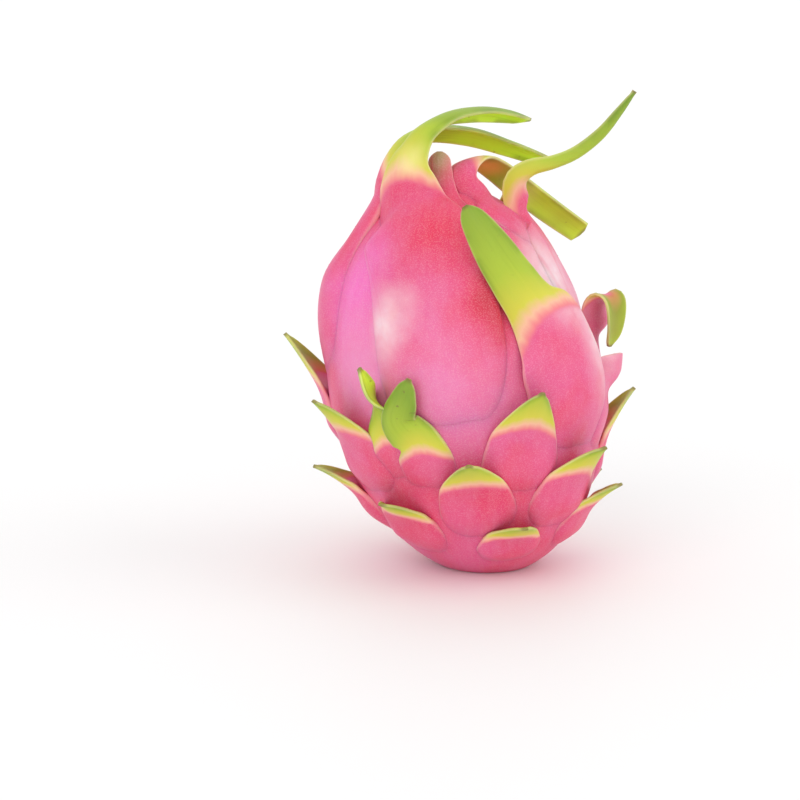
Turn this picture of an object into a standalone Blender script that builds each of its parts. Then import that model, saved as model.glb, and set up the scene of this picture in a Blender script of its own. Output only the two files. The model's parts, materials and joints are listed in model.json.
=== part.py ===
"""A whole dragon fruit, standing on the flat of its stem end.

The fruit grew as one piece, so it is one solid: an egg-shaped body, with its
leafy bracts grown into the skin. Low on the body a bract is short and thick.
Towards the crown it is a long strap that curls over the top.

Metres, +Z up. The origin is the middle of the flat that the fruit rests on,
and the side that is seen first faces -Y.
"""

import math

import bmesh
import bpy
from mathutils import Vector

MM = 0.001

# Body: an egg on a leaning axis, cut flat where it rests.
WIDEST_RADIUS = 46.5 * MM
WIDEST_HEIGHT = 62 * MM
CROWN_RISE = 70 * MM
BASE_DROP = 66 * MM
AXIS_LEAN = -0.11
RIB_DEPTH = 0.016
THREE_RIBS_FROM = 2.88
FIVE_RIBS_FROM = 2.7
NAVEL_RADIUS = 9 * MM
NAVEL_DEPTH = 3 * MM
BODY_RINGS = 27
BODY_SIDES = 46

# Bracts: how they leave the skin, and how thick they are.
MARGIN_SINK = 1.1 * MM
LIFT_BLEND = 8 * MM
ROOT_DEPTH = 2.2 * MM
THICKEST = 10 * MM
BLADE_THICKNESS = 2.2 * MM
TIP_THICKNESS = 1.1 * MM
MARGIN_THICKNESS = 0.9 * MM
NARROWEST_HALF = 1 * MM
SHOWN_SPANS = 2
GROWN_SPANS = 1
GROWN_COLUMNS = 4

# Colours, as linear red, green, blue.
SKIN_PINK = (0.74, 0.10, 0.22)
BRACT_GREEN = (0.34, 0.52, 0.06)
GREEN_FROM = 0.25


def axis_at(height):
    """Where the leaning axis passes a height."""
    return Vector((AXIS_LEAN * height, 0.0, height))


def skin_point(azimuth, polar):
    """A point of the skin. Polar is 0 at the crown and pi at the stem end."""
    rise = CROWN_RISE if polar < math.pi / 2 else BASE_DROP
    height = WIDEST_HEIGHT + rise * math.cos(polar)
    ribs = math.cos(3 * azimuth + THREE_RIBS_FROM) + 0.8 * math.cos(5 * azimuth + FIVE_RIBS_FROM)
    radius = WIDEST_RADIUS * math.sin(polar) * (1 + RIB_DEPTH * ribs * math.sin(polar))
    if polar < math.pi / 2 and radius < NAVEL_RADIUS:
        height -= NAVEL_DEPTH * (1 - (radius / NAVEL_RADIUS) ** 2) ** 2
    height = max(height, 0.0)
    outwards = Vector((math.cos(azimuth), math.sin(azimuth), 0))
    return axis_at(height) + radius * outwards


def skin_angles(point):
    """The azimuth and polar angle of the skin under a point."""
    off_axis = point - axis_at(point.z)
    rise = CROWN_RISE if point.z > WIDEST_HEIGHT else BASE_DROP
    up = (point.z - WIDEST_HEIGHT) / rise
    out = math.hypot(off_axis.x, off_axis.y) / WIDEST_RADIUS
    return math.atan2(off_axis.y, off_axis.x), math.atan2(out, up)


def skin_normal(azimuth, polar):
    """The outward direction of the egg, without its ribs."""
    rise = CROWN_RISE if polar < math.pi / 2 else BASE_DROP
    out = math.sin(polar) / WIDEST_RADIUS
    side = Vector((out * math.cos(azimuth), out * math.sin(azimuth), 0))
    side.z = math.cos(polar) / rise - AXIS_LEAN * side.x
    return side.normalized()


def root_angles(degrees, height):
    """Skin angles of a place given as degrees round the fruit and a height."""
    up = height - WIDEST_HEIGHT
    rise = CROWN_RISE if up > 0 else BASE_DROP
    return math.radians(degrees), math.acos(max(-1.0, min(1.0, up / rise)))


def smooth_step(low, high, value):
    """0 below low, 1 above high, and an even S between them."""
    share = max(0.0, min(1.0, (value - low) / (high - low)))
    return share * share * (3 - 2 * share)


def catmull_rom(knots, steps):
    """Points of a smooth curve through the knots. Steps says how many lie between each two."""
    ends = [2 * knots[0] - knots[1], *knots, 2 * knots[-1] - knots[-2]]
    path = []
    for count, a, b, c, d in zip(steps, ends, ends[1:], ends[2:], ends[3:]):
        for step in range(count):
            t = step / count
            straight = 2 * b + (c - a) * t
            bent = (2 * a - 5 * b + 4 * c - d) * t**2 + (3 * b - a - 3 * c + d) * t**3
            path.append(0.5 * (straight + bent))
    path.append(knots[-1])
    return path


def knots_of(root, blade):
    """Knots of a centre line: place, half width, cup and the way the outer face looks."""
    knots = []
    for degrees, height, half, raised in root:
        azimuth, polar = root_angles(degrees, height * MM)
        face = skin_normal(azimuth, polar)
        place = skin_point(azimuth, polar) + raised * MM * face
        girth = max(WIDEST_RADIUS * math.sin(polar), half * MM)
        cup = half * MM / (2 * girth)
        knots.append(Vector((*place, half * MM, cup, *face)))
    for x, y, z, half, cup, face in blade:
        knots.append(Vector((x * MM, y * MM, z * MM, half * MM, cup, *Vector(face).normalized())))
    return knots


class Row:
    """A row across a bract: its points, how far along it lies, how free and how proud of the skin.

    How far along is below 0 on the root, 0 where the blade leaves the skin and 1 at the tip.
    """

    def __init__(self, points, along, free, raised):
        self.points = points
        self.along = along
        self.free = free
        self.raised = raised


def rounded_end(from_tip, blunt):
    """How much of its width a blade keeps this far from its tip."""
    if from_tip >= blunt:
        return 1.0
    return math.sqrt(max(0.0, 1 - (1 - from_tip / blunt) ** 2))


def bract_rows(root, blade, blunt, columns, spans):
    """The outer face of a bract, as rows of points from its root to its tip."""
    lift = len(root) - 1
    path = catmull_rom(knots_of(root, blade), [1] * lift + [spans] * len(blade))
    travel = [0.0]
    for a, b in zip(path, path[1:]):
        travel.append(travel[-1] + (b - a).to_3d().length)
    rows = []
    for index, knot in enumerate(path):
        place = knot.to_3d()
        ahead = path[min(index + 1, len(path) - 1)].to_3d()
        behind = path[max(index - 1, 0)].to_3d()
        tangent = (ahead - behind).normalized()
        face = Vector(knot[5:8])
        face = (face - face.dot(tangent) * tangent).normalized()
        across = tangent.cross(face)
        fullness = rounded_end(travel[-1] - travel[index], blunt * MM)
        half = max(knot[3] * fullness, NARROWEST_HALF)
        cup = knot[4] * fullness
        free = smooth_step(travel[lift] - LIFT_BLEND, travel[lift] + LIFT_BLEND, travel[index])
        raised = (place - skin_point(*skin_angles(place))).length
        if index == 0:
            raised = root[0][3] * MM
        points = []
        for column in range(columns + 1):
            side = 1 - 2 * column / columns
            in_air = place + across * half * side - face * cup * half * side**2
            rim = abs(side) ** 5
            height = raised * (1 - rim) - MARGIN_SINK * rim
            angles = skin_angles(in_air)
            on_skin = skin_point(*angles) + skin_normal(*angles) * height
            points.append(on_skin.lerp(in_air, free))
        along = (travel[index] - travel[lift]) / (travel[-1] - travel[lift])
        rows.append(Row(points, along, free, raised))
    return rows


def thickness_at(row, side):
    """Thick along the middle of the root, thin at the margins and the tip."""
    rooted = row.raised + ROOT_DEPTH
    blade = BLADE_THICKNESS + (TIP_THICKNESS - BLADE_THICKNESS) * max(0.0, row.along)
    middle = rooted + (blade - rooted) * row.free
    margin = ROOT_DEPTH + (MARGIN_THICKNESS - ROOT_DEPTH) * row.free
    return margin + (middle - margin) * (1 - abs(side) ** 2.5)


def link(name, mesh, collection):
    thing = bpy.data.objects.new(name, mesh)
    collection.objects.link(thing)
    return thing


def make_bract(name, shape, spans, collection, materials):
    """A bract as a curved sheet with Solidify, which gives it its thickness."""
    columns = shape[-1]
    rows = bract_rows(*shape, spans)
    last = len(rows) - 1
    sheet = bmesh.new()
    bmesh.ops.create_grid(sheet, x_segments=last, y_segments=columns, size=1)
    alongs = []
    weights = []
    for vert in sheet.verts:
        station = round((vert.co.x + 1) / 2 * last)
        column = round((vert.co.y + 1) / 2 * columns)
        row = rows[station]
        alongs.append(row.along)
        weights.append(thickness_at(row, 1 - 2 * column / columns) / THICKEST)
        vert.co = row.points[column]
    for face in sheet.faces:
        middle = sum(alongs[vert.index] for vert in face.verts) / len(face.verts)
        face.material_index = 1 if middle > GREEN_FROM else 0
    mesh = bpy.data.meshes.new(name)
    sheet.to_mesh(mesh)
    sheet.free()
    for material in materials:
        mesh.materials.append(material)
    bract = link(name, mesh, collection)
    group = bract.vertex_groups.new(name="thickness")
    for index, weight in enumerate(weights):
        group.add([index], weight, "REPLACE")
    wall = bract.modifiers.new("wall", "SOLIDIFY")
    wall.thickness = THICKEST
    wall.offset = -1
    wall.vertex_group = "thickness"
    bract.modifiers.new("flat faces", "TRIANGULATE")
    return bract


def make_body(collection, materials):
    """The egg: a sphere, each of its points moved onto the skin."""
    ball = bmesh.new()
    bmesh.ops.create_uvsphere(ball, u_segments=BODY_SIDES, v_segments=BODY_RINGS, radius=1)
    for vert in ball.verts:
        polar = math.acos(max(-1.0, min(1.0, vert.co.z)))
        vert.co = skin_point(math.atan2(vert.co.y, vert.co.x), polar)
    bmesh.ops.triangulate(ball, faces=ball.faces)
    mesh = bpy.data.meshes.new("body")
    ball.to_mesh(mesh)
    ball.free()
    for material in materials:
        mesh.materials.append(material)
    return link("body", mesh, collection)


def plain_material(name, colour, roughness):
    material = bpy.data.materials.new(name)
    material.use_nodes = True
    shader = material.node_tree.nodes["Principled BSDF"]
    shader.inputs["Base Color"].default_value = (*colour, 1)
    shader.inputs["Roughness"].default_value = roughness
    shader.inputs["Metallic"].default_value = 0
    material.diffuse_color = (*colour, 1)
    return material


# The bracts that the front shows, in millimetres. The root runs up the skin, as
# (degrees round the fruit, height, half width, how far it stands proud). The blade
# goes on in the open, as (x, y, z, half width, cup, the way its outer face looks).
# Last come the length of the tip's rounding and the number of columns of its sheet.
SHOWN_BRACTS = {
    "front_left": (
        [(259, 50, 19, -1.2), (259, 76, 24, 4), (257, 98, 22.5, 4.5), (250, 112, 19, 4.5),
         (239, 121, 17.5, 4.5)],
        [(-28.5, -17.5, 128.5, 13, 0.5, (-0.45, -0.85, 0.3)),
         (-29, -16, 134.5, 11, 0.4, (-0.5, -0.82, 0.3)),
         (-28.8, -15, 140.5, 8.6, 0.4, (-0.55, -0.78, 0.35)),
         (-26.8, -14, 146.5, 6.6, 0.5, (-0.6, -0.7, 0.45)),
         (-23, -11, 152.5, 6, 0.6, (-0.5, -0.4, 0.8)),
         (-14, -4, 157, 5.6, 0.65, (-0.2, 0.2, 0.95)),
         (-3, 4, 158, 5.4, 0.65, (0, 0.45, 0.9)),
         (7, 10, 156.5, 4.8, 0.6, (0.15, 0.45, 0.85)),
         (15, 14, 153.5, 2.8, 0.5, (0.2, 0.45, 0.85))],
        5, 6,
    ),
    "left_back": (
        [(190, 56, 16, -1.2), (178, 80, 20, 2.6), (174, 100, 18.5, 5), (172, 114, 15, 2.8),
         (173, 124, 11.5, 5)],
        [(-38, 3, 133, 8, 0.4, (-0.95, 0, 0.25)),
         (-35, 4, 141, 6.8, 0.4, (-0.85, 0, 0.5)),
         (-29, 7, 148, 6, 0.5, (-0.5, 0.2, 0.85)),
         (-19, 11, 151, 5.6, 0.6, (-0.1, 0.5, 0.85)),
         (-5, 16, 149.5, 5.6, 0.6, (0.1, 0.6, 0.8)),
         (8, 19, 145, 5, 0.55, (0.25, 0.6, 0.75)),
         (18, 20, 141, 4, 0.5, (0.3, 0.6, 0.7)),
         (25, 21, 138, 1.8, 0.5, (0.3, 0.6, 0.7))],
        4, 6,
    ),
    "crown_strap": (
        [(342, 110, 7, -1.2), (334, 119, 8, 1), (318, 126, 7, 1.6)],
        [(-7, -10, 131.5, 5.8, 0.4, (0.1, -0.95, 0.3)),
         (-8.8, -9, 136.5, 4.9, 0.4, (0, -0.9, 0.35)),
         (-7.5, -5, 140.5, 4.8, 0.3, (-0.2, -0.4, 0.85)),
         (-3, 1, 141.5, 4.9, 0.3, (-0.2, 0.35, 0.95)),
         (3, 7, 137.5, 5, 0.3, (-0.1, 0.75, 0.65)),
         (12, 12, 130, 5.1, 0.3, (-0.1, 0.85, 0.5)),
         (23, 17, 121.5, 5, 0.3, (-0.1, 0.85, 0.5)),
         (34, 22, 113.5, 4.6, 0.3, (-0.1, 0.85, 0.5))],
        0.8, 4,
    ),
    "crown_stub": (
        [(288, 112, 8, -1.2), (280, 121, 7.5, 0.6), (266, 127.5, 6.5, 1.2)],
        [(-16.5, -10.5, 134, 5, 0.3, (-0.1, -0.95, 0.3)),
         (-16.5, -9.5, 139, 4.2, 0.3, (0, -0.85, 0.5)),
         (-16.5, -8, 144, 3.4, 0.3, (0, -0.7, 0.7))],
        3, 4,
    ),
    "right_tendril": (
        [(352, 76, 14, -1.2), (350, 94, 18, 0.8), (350, 108, 16, 1.4), (350, 115, 12.5, 2),
         (351, 120, 9, 2.6)],
        [(12, -7, 125.5, 6, 0.5, (0.6, -0.8, 0.1)),
         (10.5, -8, 130, 5, 0.7, (0.5, -0.85, -0.1)),
         (11, -9, 134, 4.6, 0.8, (0.4, -0.85, -0.3)),
         (15, -9.5, 137, 3.7, 0.9, (0.2, -0.8, -0.55)),
         (22, -9.5, 139, 3, 0.9, (0.2, -0.8, -0.55)),
         (30, -9.5, 142.5, 2.8, 0.9, (0.3, -0.8, -0.5)),
         (38, -10, 149, 2.7, 0.8, (0.5, -0.75, -0.4)),
         (44, -10.5, 157, 2.2, 0.6, (0.6, -0.7, -0.35)),
         (48.5, -10.5, 164, 1, 0.4, (0.6, -0.7, -0.35))],
        3, 4,
    ),
    "front_blade": (
        [(322, 44, 17, -1.2), (321, 60, 22, 4), (317, 74, 21, 5.5), (311, 85.5, 18.5, 5)],
        [(14.5, -39.5, 96, 10, 0.3, (0.35, -0.9, 0.15)),
         (7.5, -42, 105, 8, 0.3, (0.25, -0.95, 0)),
         (1.2, -43, 114, 7, 0.3, (0.2, -0.95, -0.1)),
         (-4.4, -42, 122, 5.4, 0.3, (0.1, -0.95, -0.2)),
         (-9, -39.5, 129, 3.3, 0.3, (0.1, -0.95, -0.2))],
        5, 6,
    ),
    "right_curl": (
        [(6, 52, 11, -1.2), (6, 66, 12, 2.5), (6, 76, 9.5, 3)],
        [(39.8, 3.7, 82, 9, 0.3, (0.75, -0.6, 0.2)),
         (39.2, 3.4, 87.5, 8, 0.3, (0.75, -0.6, 0)),
         (39.7, 2.7, 91.3, 7.2, 0.3, (0.6, -0.5, -0.6)),
         (41.1, 1.6, 92.8, 6.8, 0.3, (0, 0, -1)),
         (42.5, 0.4, 91.3, 6.4, 0.3, (-0.65, 0.5, -0.5)),
         (43, 0, 87, 5.6, 0.3, (-0.75, 0.6, 0)),
         (42.7, -0.2, 81.5, 4.4, 0.3, (-0.75, 0.6, 0.1)),
         (41.9, 0.2, 76.5, 2.4, 0.2, (-0.75, 0.6, 0.1))],
        4, 4,
    ),
    "low_left_fin": (
        [(236, 34, 9, -1.2), (234, 46, 10, 2.5), (232, 54, 8, 3)],
        [(-38, -38, 62, 6, 0.3, (-0.8, -0.3, -0.3)),
         (-41, -41.5, 69, 4.5, 0.3, (-0.8, 0.4, -0.3)),
         (-43.5, -44, 76.5, 1.6, 0.3, (-0.8, 0.5, -0.3))],
        3, 4,
    ),
    "low_left_tip": (
        [(250, 32, 10, -1.2), (248, 44, 11, 2.5), (246, 52, 9, 3)],
        [(-31, -46, 59, 6.5, 0.35, (-0.4, -0.9, 0)),
         (-29.5, -48.5, 66, 5, 0.35, (-0.4, -0.9, -0.1)),
         (-27, -50, 74, 2, 0.3, (-0.3, -0.9, -0.2))],
        4, 4,
    ),
    "right_stub": (
        [(342, 40, 11, -1.2), (344, 54, 12, 2.5), (345, 62, 9, 3)],
        [(42.6, -13, 69, 6.4, 0.4, (0.65, -0.75, 0)),
         (43.4, -14, 76, 5.6, 0.4, (0.65, -0.75, -0.1))],
        1.5, 4,
    ),
}


def grown_bract(degrees, height, length, half, splay, curl, lean):
    """A bract by rule, in millimetres and degrees.

    It leaves the skin at a place, splayed out from it by an angle. A curl brings the
    blade back to the fruit and a negative curl throws its tip out. Lean turns it sideways.
    """
    azimuth, polar = root_angles(degrees, height * MM)
    outward = skin_normal(azimuth, polar)
    round_way = Vector((-math.sin(azimuth), math.cos(azimuth), 0))
    upward = round_way.cross(outward) * -1
    upward = upward * math.cos(math.radians(lean)) + round_way * math.sin(math.radians(lean))
    fall = 0.9 * half + 0.3 * length
    drift = math.degrees(math.tan(math.radians(lean)) * fall * MM / WIDEST_RADIUS)
    low = max(5.0, height - fall)
    root = [(degrees - drift, low, half * 0.8, -1.2),
            (degrees - drift / 2, (low + height) / 2, half * 1.1, 2.5),
            (degrees, height, half, 3)]
    place = skin_point(azimuth, polar) / MM + outward * 3
    blade = []
    for step in range(4):
        angle = math.radians(splay - curl * (step + 0.5) / 4)
        ahead = upward * math.cos(angle) + outward * math.sin(angle)
        face = outward * math.cos(angle) - upward * math.sin(angle)
        place = place + ahead * length / 4
        share = (step + 1) / 4
        blade.append((*place, half * (1 - 0.9 * share**1.25), 0.3, face))
    return root, blade, 0.16 * length, GROWN_COLUMNS


# Bracts by rule: (degrees round the fruit, height where the blade leaves the skin,
# blade length, half width, splay, curl, sideways lean).
GROWN_BRACTS = [
    (62, 100, 34, 12, 14, 30, -14),
    (106, 99, 40, 13, 18, 40, 8),
    (150, 86, 30, 13, 14, 30, 0),
    (42, 76, 27, 12.5, 16, 6, 8),
    (80, 72, 31, 13.5, 24, 16, -8),
    (122, 64, 31, 13.5, 24, 4, 6),
    (172, 58, 26, 12.5, 20, -10, 0),
    (212, 46, 23, 12.5, 16, -16, -6),
    (290, 50, 23, 13, 13, -18, 4),
    (268, 33, 21, 12.5, 14, -22, -6),
    (313, 34, 21, 12.5, 14, -22, 6),
    (6, 42, 22, 12.5, 16, -16, 0),
    (50, 42, 24, 13, 18, -18, 8),
    (96, 38, 22, 12.5, 16, -18, 0),
    (146, 34, 21, 12.5, 16, -22, -6),
    (184, 26, 18, 11.5, 14, -24, 0),
    (228, 22, 16, 11.5, 12, -24, 4),
    (336, 22, 17, 11.5, 12, -24, 0),
    (28, 19, 16, 11.5, 12, -24, 0),
    (76, 16, 15, 10.5, 10, -24, 0),
    (120, 17, 15, 10.5, 10, -24, 4),
    (286, 16, 15, 10.5, 10, -24, 0),
]


def fuse(body, bracts):
    """One union of the body with every bract, kept as a plain mesh."""
    union = body.modifiers.new("grown together", "BOOLEAN")
    union.operation = "UNION"
    union.solver = "EXACT"
    union.operand_type = "COLLECTION"
    union.collection = bracts
    union.material_mode = "TRANSFER"
    bpy.context.view_layer.update()
    graph = bpy.context.evaluated_depsgraph_get()
    mesh = bpy.data.meshes.new_from_object(body.evaluated_get(graph))
    body.modifiers.clear()
    body.data = mesh
    for bract in list(bracts.objects):
        bpy.data.objects.remove(bract)
    bpy.data.collections.remove(bracts)
    body.name = mesh.name = "dragon_fruit"
    mesh.shade_smooth()
    return body


def clear_scene():
    for thing in list(bpy.data.objects):
        bpy.data.objects.remove(thing)


def build():
    clear_scene()
    fruit = bpy.data.collections.new("dragon fruit")
    bracts = bpy.data.collections.new("bracts")
    for collection in (fruit, bracts):
        bpy.context.scene.collection.children.link(collection)
    materials = [
        plain_material("skin_pink", SKIN_PINK, 0.45),
        plain_material("bract_green", BRACT_GREEN, 0.5),
    ]
    body = make_body(fruit, materials)
    for name, shape in SHOWN_BRACTS.items():
        make_bract(name, shape, SHOWN_SPANS, bracts, materials)
    for number, numbers in enumerate(GROWN_BRACTS):
        make_bract(f"grown_{number}", grown_bract(*numbers), GROWN_SPANS, bracts, materials)
    return fuse(body, bracts)


build()
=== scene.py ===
# %% [markdown]
# # A whole dragon fruit
#
# A dragon fruit is the fruit of a climbing cactus. Its skin carries leafy bracts, which grew
# with it: each one starts as a swelling of the skin, leaves it along a thin margin, and ends in
# a blade. Low on the fruit the blades are short, and at the crown they are long straps that
# curl over. So the whole fruit is one surface, and this lesson builds it from two rules: an egg
# for the body, and one bract that is grown again and again from its own few numbers.

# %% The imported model
import json
import math

import bpy
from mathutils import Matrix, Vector

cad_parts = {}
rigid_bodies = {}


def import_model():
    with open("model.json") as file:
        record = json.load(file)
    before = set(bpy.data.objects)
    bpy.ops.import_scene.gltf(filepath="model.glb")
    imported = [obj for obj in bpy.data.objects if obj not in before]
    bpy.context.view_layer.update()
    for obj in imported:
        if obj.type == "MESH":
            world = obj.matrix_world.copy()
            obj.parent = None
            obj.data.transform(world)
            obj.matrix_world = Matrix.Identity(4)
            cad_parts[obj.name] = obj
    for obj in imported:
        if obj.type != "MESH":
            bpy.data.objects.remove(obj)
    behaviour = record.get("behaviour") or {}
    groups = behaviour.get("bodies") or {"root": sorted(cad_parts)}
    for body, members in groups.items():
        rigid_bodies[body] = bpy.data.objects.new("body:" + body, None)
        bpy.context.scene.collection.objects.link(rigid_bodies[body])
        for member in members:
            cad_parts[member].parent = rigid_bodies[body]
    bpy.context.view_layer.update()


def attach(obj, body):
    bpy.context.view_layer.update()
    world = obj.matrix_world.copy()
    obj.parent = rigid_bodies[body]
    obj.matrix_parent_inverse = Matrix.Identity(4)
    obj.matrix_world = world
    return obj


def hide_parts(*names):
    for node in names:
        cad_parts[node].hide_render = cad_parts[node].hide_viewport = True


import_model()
MM = 0.001

# %% [markdown]
# ## Sums as nodes
#
# A rule such as "the radius at this height" becomes a chain of Math nodes in a node tree. Wired
# by hand, such a chain is long and hard to read. The small class below holds the output of one
# node, and adding or multiplying two of them adds the next node, so that a rule reads as it
# would on paper. It serves geometry trees and shader trees alike.

# %% A field, and what can be done with it
NUMBER_RESULTS = {"DOT_PRODUCT", "LENGTH"}


class Field:
    """One output of a node. Arithmetic on it adds the nodes that work it out."""

    def __init__(self, tree, socket):
        self.tree = tree
        self.socket = socket

    def is_vector(self):
        return self.socket.type in ("VECTOR", "RGBA")

    def __add__(self, other):
        return calc(self.tree, "ADD", self, other)

    def __radd__(self, other):
        return calc(self.tree, "ADD", other, self)

    def __sub__(self, other):
        return calc(self.tree, "SUBTRACT", self, other)

    def __rsub__(self, other):
        return calc(self.tree, "SUBTRACT", other, self)

    def __mul__(self, other):
        return calc(self.tree, "MULTIPLY", self, other)

    def __rmul__(self, other):
        return calc(self.tree, "MULTIPLY", self, other)

    def __truediv__(self, other):
        return calc(self.tree, "DIVIDE", self, other)

    def __pow__(self, other):
        return calc(self.tree, "POWER", self, other)

    def __abs__(self):
        return calc(self.tree, "ABSOLUTE", self)


def feed(tree, socket, value):
    """Links a field to an input, or sets the input to a plain value."""
    if isinstance(value, Field):
        tree.links.new(value.socket, socket)
    else:
        socket.default_value = value


def add(tree, kind, inputs=None, output=0, **settings):
    """Adds a node, sets it up, feeds its inputs, and returns one of its outputs."""
    node = tree.nodes.new(kind)
    for name, value in settings.items():
        setattr(node, name, value)
    for name, value in (inputs or {}).items():
        feed(tree, node.inputs[name], value)
    return Field(tree, node.outputs[output])


def wide(value):
    """Whether a value is a vector, as a field or as plain numbers."""
    return value.is_vector() if isinstance(value, Field) else hasattr(value, "__len__")


def calc(tree, operation, *values):
    """A Math node, or a Vector Math node where a value is a vector."""
    if not any(wide(value) for value in values):
        return add(tree, "ShaderNodeMath", dict(enumerate(values)), operation=operation)
    if operation == "MULTIPLY" and not all(wide(value) for value in values):
        vector, number = values if wide(values[0]) else reversed(values)
        inputs = {"Vector": vector, "Scale": number}
        return add(tree, "ShaderNodeVectorMath", inputs, operation="SCALE")
    output = "Value" if operation in NUMBER_RESULTS else "Vector"
    inputs = dict(enumerate(values))
    return add(tree, "ShaderNodeVectorMath", inputs, output, operation=operation)


def of(operation, *values):
    """A calculation whose tree is that of its first field."""
    tree = next(value.tree for value in values if isinstance(value, Field))
    return calc(tree, operation, *values)


def lerp(a, b, share):
    return a + (b - a) * share


def ramp(low, high, value, interpolation="SMOOTHSTEP"):
    """0 below low, 1 above high, and an even S or line between them."""
    inputs = {"Value": value, "From Min": low, "From Max": high}
    return add(value.tree, "ShaderNodeMapRange", inputs, interpolation_type=interpolation)


def xyz(vector):
    """The three numbers of a vector."""
    node = vector.tree.nodes.new("ShaderNodeSeparateXYZ")
    vector.tree.links.new(vector.socket, node.inputs[0])
    return [Field(vector.tree, output) for output in node.outputs]


def vector_of(tree, x, y, z):
    return add(tree, "ShaderNodeCombineXYZ", {"X": x, "Y": y, "Z": z})


# %% A tree with named inputs and outputs
SOCKETS = {
    "number": "NodeSocketFloat",
    "count": "NodeSocketInt",
    "vector": "NodeSocketVector",
    "mesh": "NodeSocketGeometry",
    "finish": "NodeSocketMaterial",
    "pieces": "NodeSocketCollection",
}


def new_tree(name, kind, inputs, outputs):
    """A node tree, and its inputs as fields by name."""
    tree = bpy.data.node_groups.new(name, kind)
    for label, sort in inputs.items():
        tree.interface.new_socket(label, in_out="INPUT", socket_type=SOCKETS[sort])
    for label, sort in outputs.items():
        tree.interface.new_socket(label, in_out="OUTPUT", socket_type=SOCKETS[sort])
    start = tree.nodes.new("NodeGroupInput")
    return tree, {label: Field(tree, start.outputs[label]) for label in inputs}


def close_tree(tree, results):
    """Wires the results to the tree's outputs and spreads the nodes out for a reader."""
    end = tree.nodes.new("NodeGroupOutput")
    for label, value in results.items():
        feed(tree, end.inputs[label], value)
    for index, node in enumerate(tree.nodes):
        node.location = (220 * (index // 6), -190 * (index % 6))
    print(tree.name, "has", len(tree.nodes), "nodes")


def use(tree, group, inputs, kind="GeometryNodeGroup"):
    """Places a group in a tree and returns its outputs by name."""
    node = tree.nodes.new(kind)
    node.node_tree = group
    for name, value in inputs.items():
        feed(tree, node.inputs[name], value)
    return {output.name: Field(tree, output) for output in node.outputs}


# %% [markdown]
# ## The skin as a rule
#
# The body is an egg: its radius follows a sine from the crown to the stem end, and its upper
# half is a little longer than its lower half. The axis leans, two slow waves round the egg
# keep it from looking turned on a lathe, the crown has a dimple, and the bottom is cut flat
# where the fruit rests. Two groups hold the rule both ways: from angles to a place, for the
# body, and from a place back to angles, so that a bract can find the skin under it.

# %% The egg
WIDEST_RADIUS = 46.5 * MM
WIDEST_HEIGHT = 62 * MM
CROWN_RISE = 70 * MM
BASE_DROP = 66 * MM
AXIS_LEAN = -0.11
RIB_DEPTH = 0.016
THREE_RIBS_FROM = 2.88
FIVE_RIBS_FROM = 2.7
FIVE_RIBS_SHARE = 0.8
NAVEL_RADIUS = 9 * MM
NAVEL_DEPTH = 3 * MM


def rise_of(upper):
    """How far the egg reaches from its widest height, up where upper is 1 and down where 0."""
    return BASE_DROP + (CROWN_RISE - BASE_DROP) * upper


def make_skin_group():
    inputs = {"Azimuth": "number", "Polar": "number"}
    tree, given = new_tree("Skin at angles", "GeometryNodeTree", inputs,
                           {"Place": "vector", "Outward": "vector"})
    azimuth, polar = given["Azimuth"], given["Polar"]
    round_x, round_y = of("COSINE", azimuth), of("SINE", azimuth)
    out, up = of("SINE", polar), of("COSINE", polar)
    upper = of("LESS_THAN", polar, math.pi / 2)
    three_ribs = of("COSINE", azimuth * 3 + THREE_RIBS_FROM)
    five_ribs = of("COSINE", azimuth * 5 + FIVE_RIBS_FROM)
    waves = (three_ribs + five_ribs * FIVE_RIBS_SHARE) * RIB_DEPTH
    radius = out * WIDEST_RADIUS * (waves * out + 1)
    dimple = of("MAXIMUM", 1 - (radius / NAVEL_RADIUS) ** 2, 0.0) ** 2 * upper
    height = up * rise_of(upper) + WIDEST_HEIGHT - dimple * NAVEL_DEPTH
    height = of("MAXIMUM", height, 0.0)
    place = vector_of(tree, round_x * radius + height * AXIS_LEAN, round_y * radius, height)
    side_x = out * round_x / WIDEST_RADIUS
    side_y = out * round_y / WIDEST_RADIUS
    outward = vector_of(tree, side_x, side_y, up / rise_of(upper) - side_x * AXIS_LEAN)
    close_tree(tree, {"Place": place, "Outward": of("NORMALIZE", outward)})
    return tree


def make_angles_group():
    tree, given = new_tree("Angles of a place", "GeometryNodeTree", {"Place": "vector"},
                           {"Azimuth": "number", "Polar": "number"})
    x, y, z = xyz(given["Place"])
    x = x - z * AXIS_LEAN
    upper = of("GREATER_THAN", z, WIDEST_HEIGHT)
    up = (z - WIDEST_HEIGHT) / rise_of(upper)
    out = of("SQRT", x * x + y * y) / WIDEST_RADIUS
    close_tree(tree, {"Azimuth": of("ARCTAN2", y, x), "Polar": of("ARCTAN2", out, up)})
    return tree


SKIN = make_skin_group()
ANGLES = make_angles_group()

# %% [markdown]
# ## The body
#
# Geometry Nodes start from a UV sphere of radius 1, read each point's two angles, and move the
# point onto the skin. A real skin isn't as smooth as the rule: it swells softly between the
# bracts and carries faint folds that run from the stem end to the crown. Two noise textures in
# the tree give that relief, which fades out near the flat that the fruit rests on.

# %% The body's tree
SOFT_SWELLS = 28
FOLDS_ROUND = 5
FOLD_STRETCH = 0.6
FLOOR_FADE = (1 * MM, 14 * MM)


def store(tree, mesh, name, value):
    inputs = {"Geometry": mesh, "Name": name, "Value": value}
    return add(tree, "GeometryNodeStoreNamedAttribute", inputs)


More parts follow.
